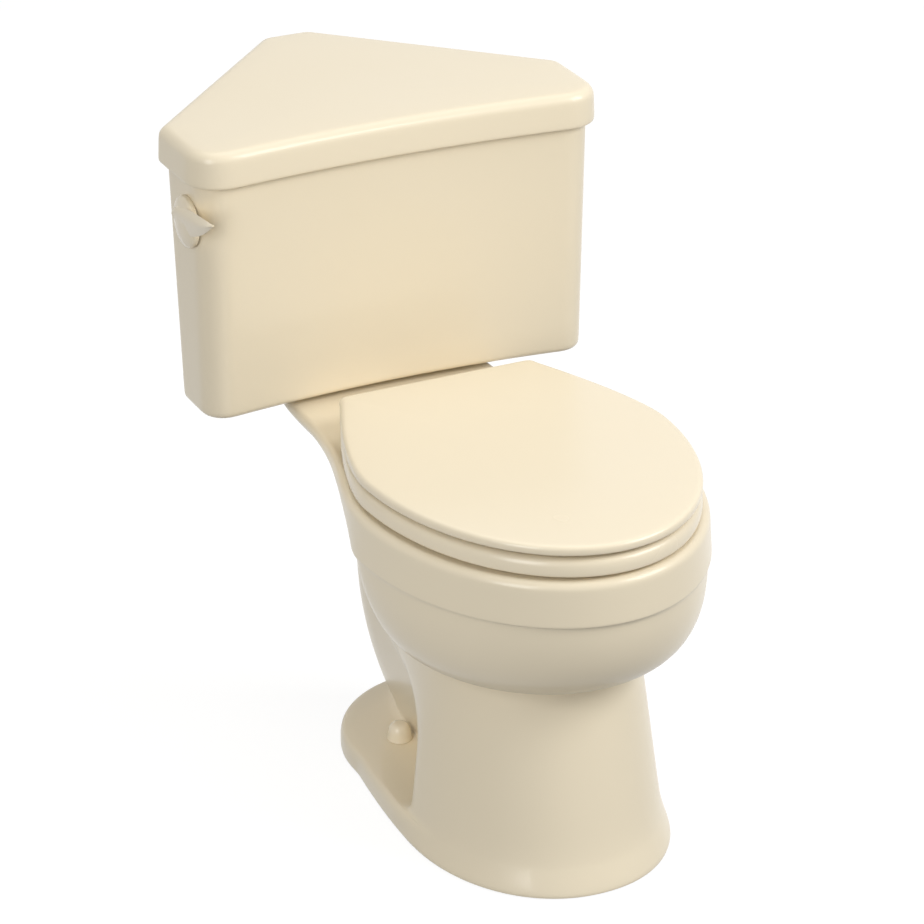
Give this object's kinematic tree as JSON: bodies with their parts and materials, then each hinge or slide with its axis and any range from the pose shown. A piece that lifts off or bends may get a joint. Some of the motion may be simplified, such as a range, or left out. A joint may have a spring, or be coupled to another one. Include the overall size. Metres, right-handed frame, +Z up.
{
  "type": "corner toilet",
  "caption": "Two-piece corner toilet: elongated bowl on a pedestal, triangular tank with a bowed front, closed seat and cover, and a flush lever at the tank's end.",
  "frame": {"origin": "centre of the waste outlet, at floor level", "axes": "+Z up; the bowl's front faces -Y; the room's corner lies towards +Y; +X is to the right of a person who faces the toilet"},
  "size_m": [0.4923, 0.8515, 0.7022],
  "materials": {
    "vitreous_china": "glossy glaze",
    "cap_plastic": "glossy",
    "seat_plastic": "glossy",
    "lever_plastic": "glossy",
    "white_plastic": "satin",
    "grey_plastic": "satin",
    "hose_vinyl": "smooth",
    "black_rubber": "matt",
    "red_rubber": "matt",
    "brass": "machined",
    "stainless_steel": "brushed"
  },
  "bodies": {
    "china": {"bowl": "vitreous_china", "bolt_cap_bases": "white_plastic", "bolt_caps": "cap_plastic", "tank": "vitreous_china", "tank_gasket": "black_rubber", "tank_bolts": "brass", "tank_bolt_seals": "black_rubber", "tank_bolt_washers": "brass", "tank_bolt_nuts": "brass", "hinge_posts": "seat_plastic", "hinge_pins": "stainless_steel", "seat_bolts": "white_plastic", "seat_bolt_nuts": "white_plastic", "seat_bolt_covers": "seat_plastic", "flush_valve": "white_plastic", "flush_valve_seal": "black_rubber", "flush_valve_nut": "white_plastic", "lever_bushing": "white_plastic", "lever_nut": "white_plastic", "fill_valve": "white_plastic", "fill_valve_seal": "black_rubber", "fill_valve_nut": "white_plastic", "fill_valve_cap": "grey_plastic", "refill_clip": "white_plastic", "refill_tube": "hose_vinyl"},
    "ring": {"seat_ring": "seat_plastic", "ring_bumpers": "black_rubber"},
    "cover": {"seat_cover": "seat_plastic", "cover_bumpers": "black_rubber"},
    "lid": {"tank_lid": "vitreous_china"},
    "lever": {"flush_lever": "lever_plastic", "trip_arm": "stainless_steel"},
    "flapper": {"flapper": "red_rubber"},
    "chain": {"lift_chain": "stainless_steel"},
    "float": {"float_cup": "grey_plastic", "float_rod": "stainless_steel"},
    "fill_arm": {"fill_lever": "grey_plastic"}
  },
  "joints": [
    {"name": "seat_ring_hinge", "type": "hinge", "parent": "china", "child": "ring", "pos_m": [0, 0.077, 0.407], "axis": [1, 0, 0], "range_deg": [-93, 0]},
    {"name": "seat_cover_hinge", "type": "hinge", "parent": "ring", "child": "cover", "pos_m": [0, 0.077, 0.407], "axis": [-1, 0, 0], "range_deg": [0, 93]},
    {"name": "tank_lid_lift", "type": "slide", "parent": "china", "child": "lid", "axis": [0, 0, 1], "range_m": [0, 0.15]},
    {"name": "flush_lever_turn", "type": "hinge", "parent": "china", "child": "lever", "pos_m": [-0.235, 0.184, 0.611], "axis": [1, 0, 0], "range_deg": [0, 18]},
    {"name": "flapper_hinge", "type": "hinge", "parent": "china", "child": "flapper", "pos_m": [0, 0.215, 0.4246], "axis": [1, 0, 0], "range_deg": [0, 27.7]},
    {"name": "lift_chain_hang", "type": "hinge", "parent": "lever", "child": "chain", "pos_m": [0, 0.279, 0.611], "axis": [1, 0, 0], "range_deg": [-18.5, 0]},
    {"name": "float_slide", "type": "slide", "parent": "china", "child": "float", "axis": [0, 0, 1], "range_m": [-0.015, 0]},
    {"name": "fill_lever_turn", "type": "hinge", "parent": "china", "child": "fill_arm", "pos_m": [-0.111, 0.3, 0.6493], "axis": [0, 1, 0], "range_deg": [0, 21.5]}
  ],
  "couplings": [
    {"joint": "flapper_hinge", "follows": "flush_lever_turn", "ratio": 1.5107},
    {"joint": "lift_chain_hang", "follows": "flush_lever_turn", "ratio": -1},
    {"joint": "fill_lever_turn", "follows": "float_slide", "rad_per_m": -24.478}
  ]
}
